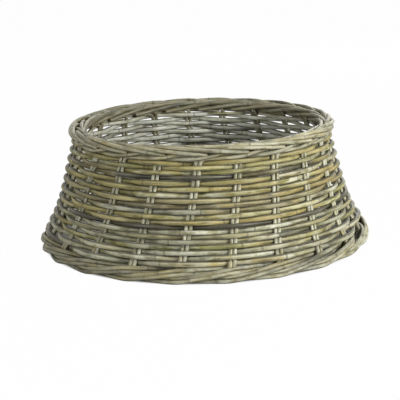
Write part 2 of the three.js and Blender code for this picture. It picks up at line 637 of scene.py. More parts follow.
class Drift:
    """A slow, seeded wandering of a value along a cane, from -1 to 1.

    Attributes:
        WAVES: The length of each wave as a share of the middle one's, and its weight.
    """

    WAVES = ((1.9, 0.45), (1.0, 0.35), (0.47, 0.2))

    def __init__(self, seed: int, reach: float) -> None:
        """Draw the waves.

        Args:
            seed: What tells this drift from another.
            reach: The length of its middle wave, in metres.
        """
        dice = random.Random(seed)
        self.waves = [
            (2 * math.pi / (reach * span), dice.uniform(0, 2 * math.pi), weight)
            for span, weight in self.WAVES
        ]

    def at(self, along: np.ndarray) -> np.ndarray:
        """Read the drift at lengths along the cane."""
        return sum(weight * np.sin(rate * along + turn) for rate, turn, weight in self.waves)


@dataclass(frozen=True)
class Wander:
    """How one part of a cane's tone wanders along it.

    Attributes:
        key: What tells this part's drift from the others.
        reach: The length of the drift's middle wave, in metres.
        middle: The value that it wanders about.
        swing: How far it wanders.
    """

    key: int
    reach: float
    middle: float
    swing: float

    def at(self, seed: int, along: np.ndarray) -> np.ndarray:
        """Read the value at lengths along the cane that has this seed."""
        return self.middle + self.swing * Drift(seed + self.key, self.reach).at(along)


@dataclass(frozen=True)
class RingHabit:
    """How the growth rings that the photograph doesn't show are strewn along a cane.

    Attributes:
        first: The least and greatest length from the start to the first one.
        apart: The least and greatest length from one to the next.
        clear: How far they keep from those that the photograph shows.
        end: How far they keep from the cane's end.
    """

    first: Pair
    apart: Pair
    clear: float
    end: float = 0.02

    def strew(self, dice: random.Random, shown: Sequence[float], total: float) -> list[float]:
        """Add rings to those that are shown.

        Args:
            dice: Where the lengths are drawn from.
            shown: Lengths along the cane where the photograph shows rings.
            total: The cane's length.

        Returns:
            The lengths along the cane of all rings.
        """
        knots = list(shown)
        here = dice.uniform(*self.first)
        while here < total - self.end:
            if all(abs(here - knot) > self.clear for knot in knots):
                knots.append(here)
            here += dice.uniform(*self.apart)
        return knots


@dataclass
class Cane:
    """One length of cane: its line and what changes along it.

    Attributes:
        line: Points of the centre line, one row each.
        outward: A direction across the cane at each point.
        radius: Half its thickness at each point.
        tone: Smoke, warmth, wash and shade at each point.
        knot: How far the nearest growth ring is, in millimetres.
        cut: 1 where the surface is cut through.
        shift: Where its grain starts, so that no two canes have the same.
    """

    line: np.ndarray
    outward: np.ndarray
    radius: np.ndarray
    tone: np.ndarray
    knot: np.ndarray
    cut: np.ndarray
    shift: float

    @property
    def along(self) -> np.ndarray:
        """Length from the start at each point."""
        return lengths(self.line)


def lengths(line: np.ndarray) -> np.ndarray:
    """Measure a line.

    Args:
        line: Its points, one row each.

    Returns:
        The length from the first point to each point.
    """
    steps = np.linalg.norm(np.diff(line, axis=0), axis=1)
    return np.concatenate([[0.0], np.cumsum(steps)])


@dataclass(frozen=True)
class CaneStock:
    """How canes are cut and rounded.

    Attributes:
        sides: Faces round a cane.
        step: Length between rings of points.
        fewest: How many of them a cane has at least.
        ring_span: Half the length over which a growth ring swells the cane.
        ring_swell: How much thicker it is there, as a share.
        uneven: How much the thickness wanders, as a share.
        oval: How far the section is from round, as a share.
        knot_reach: Where the distance to a growth ring stops counting, in millimetres.
        ring_marks: Where points lie round a growth ring, as shares of its span.
        ring_width: How wide its swelling is, as a share of its span.
        ring_clear: How far other points keep from its span.
        ring_end: How far its points keep from the cane's ends.
        end_shape: How thick a rounded end is, by how far in.
        end_clear: How far other points keep from a rounded end.
        uneven_reach: The length over which the thickness wanders.
        grain_step: How far the grain shifts from one seed to the next, in metres.
        grain_turn: Where that shift starts again.
    """

    sides: int = 14
    step: float = 0.0062
    fewest: int = 4
    ring_span: float = 0.0032
    ring_swell: float = 0.055
    uneven: float = 0.035
    oval: float = 0.03
    knot_reach: float = 9.0
    ring_marks: tuple[float, ...] = (-1.0, -0.55, -0.27, 0.0, 0.27, 0.55, 1.0)
    ring_width: float = 0.45
    ring_clear: float = 0.0008
    ring_end: float = 0.001
    end_shape: tuple[Pair, ...] = ((0.0, 0.72), (0.12, 0.86), (0.4, 0.97), (1.0, 1.0))
    end_clear: float = 0.0005
    uneven_reach: float = 0.21
    grain_step: float = 0.731
    grain_turn: float = 7.0

    def cut_to(
        self,
        dense: np.ndarray,
        outward: np.ndarray,
        radius: np.ndarray,
        tone: np.ndarray,
        knots: Sequence[float],
        seed: int,
        start_round: float = 0.0006,
        end_round: float = 0.0006,
    ) -> Cane:
        """Cut a cane to a line.

        Args:
            dense: Close points of the centre line.
            outward: A direction across the cane at each of them.
            radius: Half the thickness at each of them.
            tone: Smoke, warmth, wash and shade at each of them.
            knots: Lengths along the line where growth rings are.
            seed: What tells this cane from another.
            start_round: How far the first end is rounded over.
            end_round: How far the last end is rounded over.

        Returns:
            The cane, with rings of points where its shape needs them.
        """
        place = lengths(dense)
        total = place[-1]
        marks = list(np.linspace(0, total, max(self.fewest, round(total / self.step))))
        beside, edge = self.ring_span + self.ring_clear, self.ring_end
        for knot in knots:
            close = knot + self.ring_span * np.array(self.ring_marks)
            marks = [m for m in marks if not knot - beside < m < knot + beside]
            marks += [float(m) for m in close if edge < m < total - edge]
        low, high = start_round + self.end_clear, total - end_round - self.end_clear
        marks = [m for m in marks if low < m < high]
        marks += [share * start_round for share, _ in self.end_shape]
        marks += [total - share * end_round for share, _ in self.end_shape]
        marks = np.array(sorted(marks))

        def spread(values: np.ndarray) -> np.ndarray:
            """Read values of the dense line at the marks."""
            columns = [np.interp(marks, place, v) for v in np.atleast_2d(values.T)]
            return np.squeeze(np.stack(columns, -1))

        thick = spread(radius) * (1 + self.uneven * Drift(seed, self.uneven_reach).at(marks))
        gap = np.full(len(marks), self.knot_reach)
        for knot in knots:
            away = np.abs(marks - knot)
            gap = np.minimum(gap, away * MILLIMETRES)
            near = np.exp(-((away / (self.ring_width * self.ring_span)) ** 2))
            thick *= 1 + self.ring_swell * near
        shares, sizes = zip(*self.end_shape)
        thick *= np.interp(marks / start_round, shares, sizes)
        thick *= np.interp((total - marks) / end_round, shares, sizes)
        cut = np.zeros(len(marks))
        cut[[0, -1]] = 1.0
        shift = seed * self.grain_step % self.grain_turn
        return Cane(spread(dense), spread(outward), thick, spread(tone), gap, cut, shift)

    def strand(self, mesh: bmesh.types.BMesh, cane: Cane) -> None:
        """Sweep a round section along a cane, as one closed body.

        Args:
            mesh: The mesh that the cane is added to.
            cane: The cane.
        """
        vectors, numbers = mesh.verts.layers.float_vector, mesh.verts.layers.float

        def layer(kind: Any, mark: Mark) -> Any:
            """Get an attribute's layer, which the first cane of a piece makes."""
            return kind.get(mark.value) or kind.new(mark.value)

        at, toned = layer(vectors, Mark.PLACE), layer(vectors, Mark.TONE)
        shaded, knotted = layer(numbers, Mark.SHADE), layer(numbers, Mark.KNOT)
        cut = layer(numbers, Mark.CUT)
        frames = list(self.frames(cane))
        along = cane.along
        made = bmesh.ops.create_circle(mesh, cap_ends=True, segments=self.sides, radius=1.0)
        ring = made["verts"]
        round_places = [v.co.copy() for v in ring]
        bmesh.ops.transform(mesh, matrix=frames[0], verts=ring)
        edges = list(dict.fromkeys(e for v in ring for e in v.link_edges))
        for edge in edges:
            edge.smooth = False
        for i, frame in enumerate(frames):
            if i:
                grown = bmesh.ops.extrude_edge_only(mesh, edges=edges)["geom"]
                fresh = {g for g in grown if isinstance(g, bmesh.types.BMVert)}
                ring = [
                    next(o for o in (e.other_vert(v) for e in v.link_edges) if o in fresh)
                    for v in ring
                ]
                edges = [
                    g
                    for g in grown
                    if isinstance(g, bmesh.types.BMEdge) and all(v in fresh for v in g.verts)
                ]
                move = frame @ frames[i - 1].inverted()
                bmesh.ops.transform(mesh, matrix=move, verts=ring)
            size = float(cane.radius[i])
            for vert, place in zip(ring, round_places):
                vert[at] = (along[i] + cane.shift, place.x * size, place.y * size)
                vert[toned] = cane.tone[i, :SHADE]
                vert[shaded] = cane.tone[i, SHADE]
                vert[knotted] = cane.knot[i]
                vert[cut] = cane.cut[i]
        for edge in edges:
            edge.smooth = False
        bmesh.ops.contextual_create(mesh, geom=edges)
        for face in mesh.faces:
            face.smooth = len(face.verts) == 4

    def frames(self, cane: Cane) -> Iterator[Matrix]:
        """Place the round section at each point of a cane.

        Args:
            cane: The cane.

        Yields:
            The matrix that takes a unit circle there.
        """
        ahead = np.gradient(cane.line, axis=0)
        ahead /= np.linalg.norm(ahead, axis=1)[:, None]
        out = cane.outward - (cane.outward * ahead).sum(1)[:, None] * ahead
        out /= np.linalg.norm(out, axis=1)[:, None]
        side = np.cross(ahead, out)
        for p, a, o, s, r in zip(cane.line, ahead, out, side, cane.radius):
            wide, high = float(r) * (1 + self.oval), float(r) * (1 - self.oval)
            turn = Matrix((Vector(o), Vector(s), Vector(a))).transposed().to_4x4()
            yield Matrix.Translation(Vector(p)) @ turn @ Matrix.Diagonal((high, wide, 1.0, 1.0))

    def piece(self, name: str, canes: Sequence[Cane], slot: Slot) -> bpy.types.Object:
        """Make one object of a rod's canes.

        Args:
            name: The object's name.
            canes: The lengths of cane in it.
            slot: The slot of its finish.

        Returns:
            The object, at the origin, with its place in its mesh.
        """
        mesh = bmesh.new()
        for cane in canes:
            self.strand(mesh, cane)
        bmesh.ops.recalc_face_normals(mesh, faces=mesh.faces)
        data = bpy.data.meshes.new(name)
        mesh.to_mesh(data)
        mesh.free()
        data.materials.append(bpy.data.materials[f"cane_{slot.value}"])
        made = bpy.data.objects.new(name, data)
        bpy.context.scene.collection.objects.link(made)
        return made


# The collar's form.


@dataclass(frozen=True)
class CollarForm:
    """The wall that all rods follow, with the sizes of the model.

    Attributes:
        height: From floor to rim.
        rim_line: Radius of the line that the rim's rods stand on.
        foot_line: Radius of the line that the foot's rods stand on.
        pairs: How many pairs of stakes go round.
        lean: How far the pairs lean round from foot to rim, in spaces.
        front: Where the first pair is, in spaces from the front.
        pitch: From one border rod to the next.
        half_pair: From a pair's middle to each of its stakes.
        edge: From the floor to the middle of the lowest rods.
        flare: Heights and radii of the wall's middle.
    """

    height: float = 0.220
    rim_line: float = 0.221
    foot_line: float = 0.2844
    pairs: int = 21
    lean: float = 0.51
    front: float = -0.54
    pitch: float = 0.0063
    half_pair: float = 0.00365
    edge: float = 0.0041
    flare: tuple[Pair, ...] = (
        (0.00913, 0.2844),
        (0.02508, 0.28313),
        (0.03696, 0.2752),
        (0.08008, 0.25587),
        (0.14498, 0.2364),
        (0.18392, 0.2263),
        (0.20457, 0.221),
    )

    @property
    def space(self) -> float:
        """The angle from one pair to the next."""
        return 2 * math.pi / self.pairs

    def leaning(self, height: np.ndarray | float) -> np.ndarray | float:
        """How far round the pairs have leant at a height."""
        return self.lean * self.space * height / self.height

    def turned(self, angle: np.ndarray) -> np.ndarray:
        """Count angles from the front instead of from the first pair's foot."""
        return angle + self.front * self.space

    def wall(self, height: np.ndarray) -> np.ndarray:
        """The radius of the wall's middle at heights, eased between the flare's points.

        Args:
            height: The heights.

        Returns:
            The radii.
        """
        h, r = (np.array(v) for v in zip(*self.flare))
        slope = np.gradient(r, h)
        slope[0], slope[-1] = 0.0, (r[-1] - r[-2]) / (h[-1] - h[-2])
        i = np.clip(np.searchsorted(h, height) - 1, 0, len(h) - 2)
        span = h[i + 1] - h[i]
        t = ramp(height, h[i], h[i + 1])
        start, leaving = 2 * t**3 - 3 * t**2 + 1, t**3 - 2 * t**2 + t
        end, arriving = 3 * t**2 - 2 * t**3, t**3 - t**2
        bend = span * (leaving * slope[i] + arriving * slope[i + 1])
        return start * r[i] + end * r[i + 1] + bend

    def points(self, angle: np.ndarray, radius: np.ndarray, height: np.ndarray) -> np.ndarray:
        """Turn angles, radii and heights into points.

        Args:
            angle: Angles from the first pair's foot, rising to the right seen from the front.
            radius: Radii.
            height: Heights.

        Returns:
            The points, one row each.
        """
        turned = self.turned(angle)
        return np.stack([radius * np.sin(turned), -radius * np.cos(turned), height], 1)

    def outward(self, angle: np.ndarray) -> np.ndarray:
        """The direction away from the middle at angles."""
        return self.points(angle, np.ones(len(angle)), np.zeros(len(angle)))


def curve(knots: np.ndarray, steps: int = 10) -> np.ndarray:
    """Run a smooth curve through points.

    Args:
        knots: The points, as rows of angle, radius and height.
        steps: How many points of the result each span has.

    Returns:
        Points of the curve, one row each.
    """
    ends = np.vstack([2 * knots[0] - knots[1], knots, 2 * knots[-1] - knots[-2]])
    scale = np.array([MEAN_RADIUS, 1.0, 1.0])
    gaps = np.sqrt(np.linalg.norm(np.diff(ends * scale, axis=0), axis=1))
    t = np.concatenate([[0.0], np.cumsum(gaps)])
    made = []
    for i in range(1, len(ends) - 2):
        a, b, c, d = ends[i - 1 : i + 3]
        ta, tb, tc, td = t[i - 1 : i + 3]
        u = (tb + (tc - tb) * np.linspace(0, 1, steps, endpoint=False))[:, None]
        ab = (a * (tb - u) + b * (u - ta)) / (tb - ta)
        bc = (b * (tc - u) + c * (u - tb)) / (tc - tb)
        cd = (c * (td - u) + d * (u - tc)) / (td - tc)
        abc = (ab * (tc - u) + bc * (u - ta)) / (tc - ta)
        bcd = (bc * (td - u) + cd * (u - tb)) / (td - tb)
        made.append((abc * (tc - u) + bcd * (u - tb)) / (tc - tb))
    return np.vstack([*made, knots[-1:]])


class Side(Enum):
    """Which stake of a pair."""

    LEFT = -1
    RIGHT = 1


Run = tuple[Triple, ...]


@dataclass(frozen=True)
class Ring:
    """A growth ring on a stake where the photograph shows one.

    Attributes:
        pair: Which pair, from 1 at the front.
        side: Which stake of the pair.
        rim: True at the rim and False at the foot.
        along: How far along the border it is, in spaces.
    """

    pair: int
    side: Side
    rim: bool
    along: float


RINGS = (
    Ring(19, Side.RIGHT, True, 1.15),
    Ring(20, Side.RIGHT, True, 1.23),
    Ring(2, Side.LEFT, True, 0.75),
    Ring(2, Side.RIGHT, False, 0.34),
    Ring(21, Side.RIGHT, False, 0.88),
    Ring(21, Side.LEFT, False, 1.24),
    Ring(4, Side.LEFT, False, 0.3),
    Ring(20, Side.LEFT, False, 2.3),
)


@dataclass
class Stakes:
    """The upright rods, whose ends are rolled into the foot and the rim.

    Attributes:
        form: The collar's form.
        stock: How canes are cut.
        radius: Half a stake's thickness.
        bend_start: Where a stake starts to bend into a border, from its level there.
        bend_middle: Where it is halfway round the bend.
        border_swell: How much thicker a stake is in the borders, as a share.
        foot: The ways of the left and right rods along the foot: spaces along, pitches out and up.
        rim: The ways of the left and right rods along the rim: spaces along, radius and height.
        wall_points: How many points of a stake's line lie in the wall.
        in_foot: The heights between which a rod becomes part of the foot.
        in_rim: The heights between which it becomes part of the rim.
        over_foot: The heights between which it comes to stand free over the foot.
        under_rim: The heights between which it comes to stand free under the rim.
        sag: How far down a rod may lie in the rim.
        shift: How far in and out a rod may lie in a border.
        sizes: The least and greatest thickness, as shares.
        foot_round: How far the end in the foot is rounded over.
        rim_round: How far the end in the rim is rounded over.
        seed: Where the stakes' seeds start.
        wanders: How smoke, warmth, wash and shade wander.
        unstained: How far a stake's stain may stay away.
        odd: How far a whole stake may be lighter or darker.
        steady: How far the tone stops wandering where a stake stands free.
        zones: What standing free, the foot, its right, the rim and its right add to the tone.
        The rows for the right add painted light: lighter and paler to the right, darker to the left.
        least: The least smoke, warmth, wash and shade.
        most: The most of them.
        habit: How its growth rings are strewn.
    """

    form: CollarForm
    stock: CaneStock
    radius: float = 0.0030
    bend_start: float = 0.00679
    bend_middle: float = 0.00215
    border_swell: float = 0.2
    foot: tuple[Run, Run] = (
        (
            (0.18, 0.0, 0.0),
            (0.55, 0.85, 0.0),
            (1.0, 1.75, 0.0),
            (1.3, 1.94, 0.65),
            (1.6, 1.92, 1.3),
            (1.84, 1.75, 1.75),
            (2.12, 1.15, 1.95),
            (2.8, -1.4, 1.6),
            (3.2, -1.4, 1.6),
        ),
        (
            (0.18, 0.0, 1.0),
            (0.55, 0.55, 1.05),
            (1.0, 1.3, 1.0),
            (1.45, 1.7, 1.8),
            (1.84, 1.4, 2.7),
            (2.12, 0.8, 2.95),
            (2.8, -1.4, 2.6),
            (3.2, -1.4, 2.6),
        ),
    )
    rim: tuple[Run, Run] = (
        (
            (0.17, 0.2238, 0.2002),
            (0.5, 0.2246, 0.2008),
            (1, 0.2260, 0.2052),
            (1.45, 0.2266, 0.2118),
            (1.7, 0.2276, 0.2154),
            (2.0, 0.2296, 0.2161),
            (2.5, 0.2332, 0.2144),
            (3, 0.2355, 0.2118),
            (3.4, 0.2367, 0.2092),
            (3.8, 0.2352, 0.2062),
            (4.15, 0.2326, 0.2035),
        ),
        (
            (0.17, 0.2245, 0.1945),
            (0.5, 0.2275, 0.1948),
            (1, 0.2316, 0.1972),
            (1.5, 0.2298, 0.2042),
            (1.8, 0.2258, 0.2092),
            (2.1, 0.2218, 0.2123),
            (2.5, 0.2182, 0.2132),
            (3, 0.2154, 0.2119),
            (3.4, 0.2140, 0.2094),
            (3.8, 0.2144, 0.2056),
            (4.2, 0.2158, 0.2014),
            (4.6, 0.2182, 0.1974),
        ),
    )
    wall_points: int = 12
    in_foot: Pair = (0.03, 0.02)
    in_rim: Pair = (0.198, 0.208)
    over_foot: Pair = (0.03, 0.04)
    under_rim: Pair = (0.19, 0.18)
    sag: float = 0.0014
    shift: Pair = (-0.0008, 0.0003)
    sizes: Pair = (0.95, 1.02)
    foot_round: float = 0.001
    rim_round: float = 0.012
    seed: int = 1000
    wanders: tuple[Wander, ...] = (
        Wander(50, 0.16, -0.45, 1.1),
        Wander(130, 0.2, 0.24, 0.45),
        Wander(90, 0.12, 0.46, 0.38),
        Wander(170, 0.18, 0.0, 0.45),
    )
    unstained: float = 0.4
    odd: float = 0.35
    steady: Tone = (1.0, 0.0, 0.0, 0.6)
    # The rows for the right of the foot and of the rim are painted light: lighter to the right,
    # darker to the left.
    zones: tuple[Tone, ...] = (
        (0.0, -0.15, 0.4, 0.45),
        (0.25, 0.0, 0.0, -0.55),
        (0.0, -0.1, 0.15, 0.3),
        (0.0, 0.0, 0.0, -0.15),
        (0.0, 0.0, 0.0, 0.2),
    )
    least: Tone = (0.0, 0.0, 0.0, -2.0)
    most: Tone = (0.8, 1.0, 1.0, 2.0)
    habit: RingHabit = RingHabit((0.03, 0.16), (0.13, 0.24), 0.05)

    def border(self, rim: bool, side: Side) -> np.ndarray:
        """List one end of a stake from where it starts to bend.

        Args:
            rim: True at the rim and False at the foot.
            side: Which stake of its pair.

        Returns:
            Rows of angle, radius and height.
        """
        form = self.form
        right = side is Side.RIGHT
        if rim:
            inward, angle, line = -1.0, form.leaning(form.height), form.rim_line
            run = self.rim[right]
        else:
            inward, angle, line = 1.0, 0.0, form.foot_line
            run = [
                (along, line + out * form.pitch, form.edge + up * form.pitch)
                for along, out, up in self.foot[right]
            ]
        level = run[0][HEIGHT]
        bend = ((self.bend_start, 0.0), (self.bend_middle, self.bend_middle))
        rows = []
        for rise, ahead in bend:
            height = level + inward * rise
            turned = (side.value * form.half_pair + ahead) / line
            radius = float(form.wall(np.array([height]))[0])
            rows.append((form.leaning(height) + turned, radius, height))
        rows += [(angle + along * form.space, radius, height) for along, radius, height in run]
        return np.array(rows)

    def line(self, pair: int, side: Side) -> np.ndarray:
        """Run a stake from its end in the foot to its end in the rim.

        Args:
            pair: Which pair, from 0 at the front.
            side: Which stake of the pair.

        Returns:
            Rows of angle, radius and height, close together.
        """
        form = self.form
        foot, rim = self.border(False, side), self.border(True, side)
        low, high = foot[0, HEIGHT], rim[0, HEIGHT]
        rise = np.linspace(0, 1, self.wall_points + 2)[1:-1] * (high - low) + low
        radius = form.wall(rise)
        angle = form.leaning(rise) + side.value * form.half_pair / radius
        wall = np.stack([angle, radius, rise], 1)
        made = curve(np.vstack([foot[::-1], wall, rim]))
        made[:, ANGLE] += pair * form.space
        return made

    def cane(self, pair: int, side: Side) -> Cane:
        """Cut one stake.

        Args:
            pair: Which pair, from 0 at the front.
            side: Which stake of the pair.

        Returns:
            The cane.
        """
        seed = self.seed + 2 * pair + (side is Side.RIGHT)
        dice = random.Random(seed)
        rows = self.line(pair, side)
        foot, rim = (ramp(rows[:, HEIGHT], *zone) for zone in (self.in_foot, self.in_rim))
        rows[:, HEIGHT] -= dice.uniform(0, self.sag) * rim
        rows[:, RADIUS] += dice.uniform(*self.shift) * (rim + foot)
        dense = self.form.points(*rows.T)
        total = lengths(dense)
        size = self.radius * dice.uniform(*self.sizes)
        height = rows[:, HEIGHT]
        free = ramp(height, *self.over_foot) * ramp(height, *self.under_rim)
        # How far a point lies to the right, which the zones turn into painted light on the foot and
        # rim.
        right = np.sin(self.form.turned(rows[:, ANGLE]))
        zones = np.stack([free, foot, foot * right, rim, rim * right], 1)
        tone = self.tones(seed, dice, total, zones)
        lying = 1 - free
        return self.stock.cut_to(
            dense,
            self.form.outward(rows[:, ANGLE]) + np.outer(lying, UP),
            size * (1 + self.border_swell * lying),
            tone,
            self.habit.strew(dice, self.shown(pair, side, rows, total), total[-1]),
            seed,
            self.foot_round,
            self.rim_round,
        )

    def tones(
        self, seed: int, dice: random.Random, total: np.ndarray, zones: np.ndarray
    ) -> np.ndarray:
        """Give a stake its smoke, warmth, wash and shade.

        Args:
            seed: What tells this stake from another.
            dice: Where its own stain and shade are drawn from.
            total: Lengths from its start to its points.
            zones: How far each point is in each zone, one row each.

        Returns:
            One row for each point.
        """
        drawn = np.stack([wander.at(seed, total) for wander in self.wanders], 1)
        drawn[:, SMOKE] -= self.unstained * dice.random()
        drawn[:, SHADE] += dice.uniform(-self.odd, self.odd)
        free = zones[:, 0]
        tone = drawn * (1 - np.outer(free, self.steady)) + zones @ np.array(self.zones)
        return np.clip(tone, self.least, self.most)

    def shown(self, pair: int, side: Side, rows: np.ndarray, total: np.ndarray) -> list[float]:
        """Find a stake's growth rings that the photograph shows.

        Args:
            pair: Which pair, from 0 at the front.
            side: Which stake of the pair.
            rows: Angle, radius and height of its points.
            total: Lengths from its start to them.

        Returns:
            The lengths where they are.
        """
        found = []
        for ring in RINGS:
            if (ring.pair, ring.side) == (pair + 1, side):
                turned = (ring.along + pair) * self.form.space
                turned += self.form.leaning(self.form.height) if ring.rim else 0.0
                height = rows[:, HEIGHT]
                there = height > self.under_rim[0] if ring.rim else height < self.in_foot[0]
                away = np.where(there, np.abs(rows[:, ANGLE] - turned), np.inf)
                found.append(float(total[np.argmin(away)]))
        return found

    def build(self) -> None:
        """Make all stakes."""
        for pair in range(self.form.pairs):
            for side in Side:
                name = f"stake_{pair + 1:02d}_{side.name.lower()}"
                made = self.stock.piece(f"cane_{name}", [self.cane(pair, side)], Slot.STAKE)
                dress(made, name, Slot.STAKE)


@dataclass(frozen=True)
class Stretch:
    """A stretch of the weave with a look of its own, as the photograph shows it.

    Attributes:
        first: The crossing where it starts.
        last: The crossing where it ends.
        smoke: How far it is stained dark.
        warm: How far it is sunned.
        wash: How thick its pale wash is.
        shade: How much lighter it is, or darker where negative.
        soft: Over how many crossings its ends fade.
        cover: How far it covers the weaver's own look.
    """

    first: float
    last: float
    smoke: float
    warm: float
    wash: float
    shade: float
    soft: float = 0.12
    cover: float = 0.85

    def over(self, tone: np.ndarray, crossing: np.ndarray) -> np.ndarray:
        """Lay the stretch over a weaver's own look.

        Args:
            tone: Smoke, warmth, wash and shade at points of the weaver.
            crossing: The crossings of these points.

        Returns:
            The tone with the stretch.
        """
        share = ramp(crossing, self.first, self.first + self.soft)
        share *= self.cover * ramp(crossing, self.last, self.last - self.soft)
        look = (self.smoke, self.warm, self.wash, self.shade)
        return tone * (1 - share)[:, None] + np.outer(share, look)


STRETCHES = tuple(
    Stretch(*row)
    for row in (
        (5.0, 6.4, 0.80, 0.2, 0.10, -0.5),
        (10.3, 11.1, 0.10, 0.9, 0.10, -0.3),
        (31.3, 32.5, 0.0, 0.0, 1.0, 0.6),
        (50.0, 50.9, 0.0, 0.0, 0.9, 0.5),
        (94.9, 96.1, 0.70, 0.1, 0.1, -0.4),
        (105.0, 118.0, 0.05, 0.3, 0.2, -0.15),
        (132.0, 134.85, 0.0, 0.1, 0.5, 0.1),
        (134.85, 137.0, 0.0, 0.0, 0.95, 0.5),
        (148.0, 152.0, 0.75, 0.5, 0.0, -0.5),
        (152.0, 158.2, 1.0, 0.0, 0.0, -0.45),
        (158.2, 161.5, 0.95, 0.0, 0.3, 0.2),
        (161.5, 168.0, 0.6, 0.3, 0.2, -0.2),
        (172.0, 177.8, 0.0, 0.65, 0.15, 0.2),
        (178.0, 180.5, 0.0, 1.0, 0.1, 0.05),
        (193.0, 197.5, 0.0, 0.65, 0.1, 0.15),
        (197.5, 201.2, 0.0, 0.35, 0.5, 0.35),
        (214.0, 216.8, 0.1, 0.4, 0.2, -0.2),
        (216.8, 219.2, 0.25, 0.1, 0.85, 0.1),
        (219.25, 221.6, 0.15, 0.7, 0.2, -0.25),
        (235.2, 238.0, 0.5, 0.8, 0.0, -0.5),
        (238.0, 240.6, 0.55, 0.7, 0.3, -0.35),
        (240.9, 243.0, 0.3, 0.6, 0.35, -0.15),
        (243.0, 245.5, 0.25, 0.9, 0.1, -0.15),
        (256.0, 262.8, 0.0, 0.5, 0.25, 0.1),
        (262.8, 265.6, 0.1, 1.0, 0.0, -0.2),
        (276.0, 280.5, 0.25, 0.6, 0.0, -0.4),
        (280.55, 282.6, 0.0, 0.15, 0.9, 0.25),
        (282.6, 284.8, 0.0, 0.5, 0.3, 0.1),
        (284.8, 286.8, 0.0, 1.0, 0.1, -0.1),
        (298.0, 301.8, 0.0, 0.5, 0.1, -0.25),
        (301.8, 303.3, 0.0, 0.4, 0.4, 0.35),
        (303.3, 305.0, 0.0, 0.85, 0.15, 0.1),
        (305.0, 306.3, 0.0, 0.0, 1.0, 0.5),
        (306.3, 308.5, 0.0, 1.0, 0.1, -0.1),
        (320.0, 325.9, 0.15, 0.6, 0.1, -0.3),
        (326.0, 328.6, 0.0, 0.1, 0.8, 0.35),
        (336.0, 341.0, 0.4, 0.6, 0.0, -0.4),
        (341.0, 342.9, 0.65, 0.8, 0.0, -0.6),
        (342.9, 346.1, 1.0, 0.0, 0.15, -0.1),
        (346.1, 346.9, 0.75, 0.7, 0.1, -0.3),
        (346.9, 348.4, 0.9, 0.0, 0.35, 0.2),
        (361.6, 363.4, 0.5, 0.9, 0.0, -0.6),
        (386.0, 391.0, 0.0, 0.6, 0.2, 0.25),
        (401.0, 416.0, 0.1, 0.7, 0.1, -0.3),
    )
)


Lead = tuple[Pair, ...]


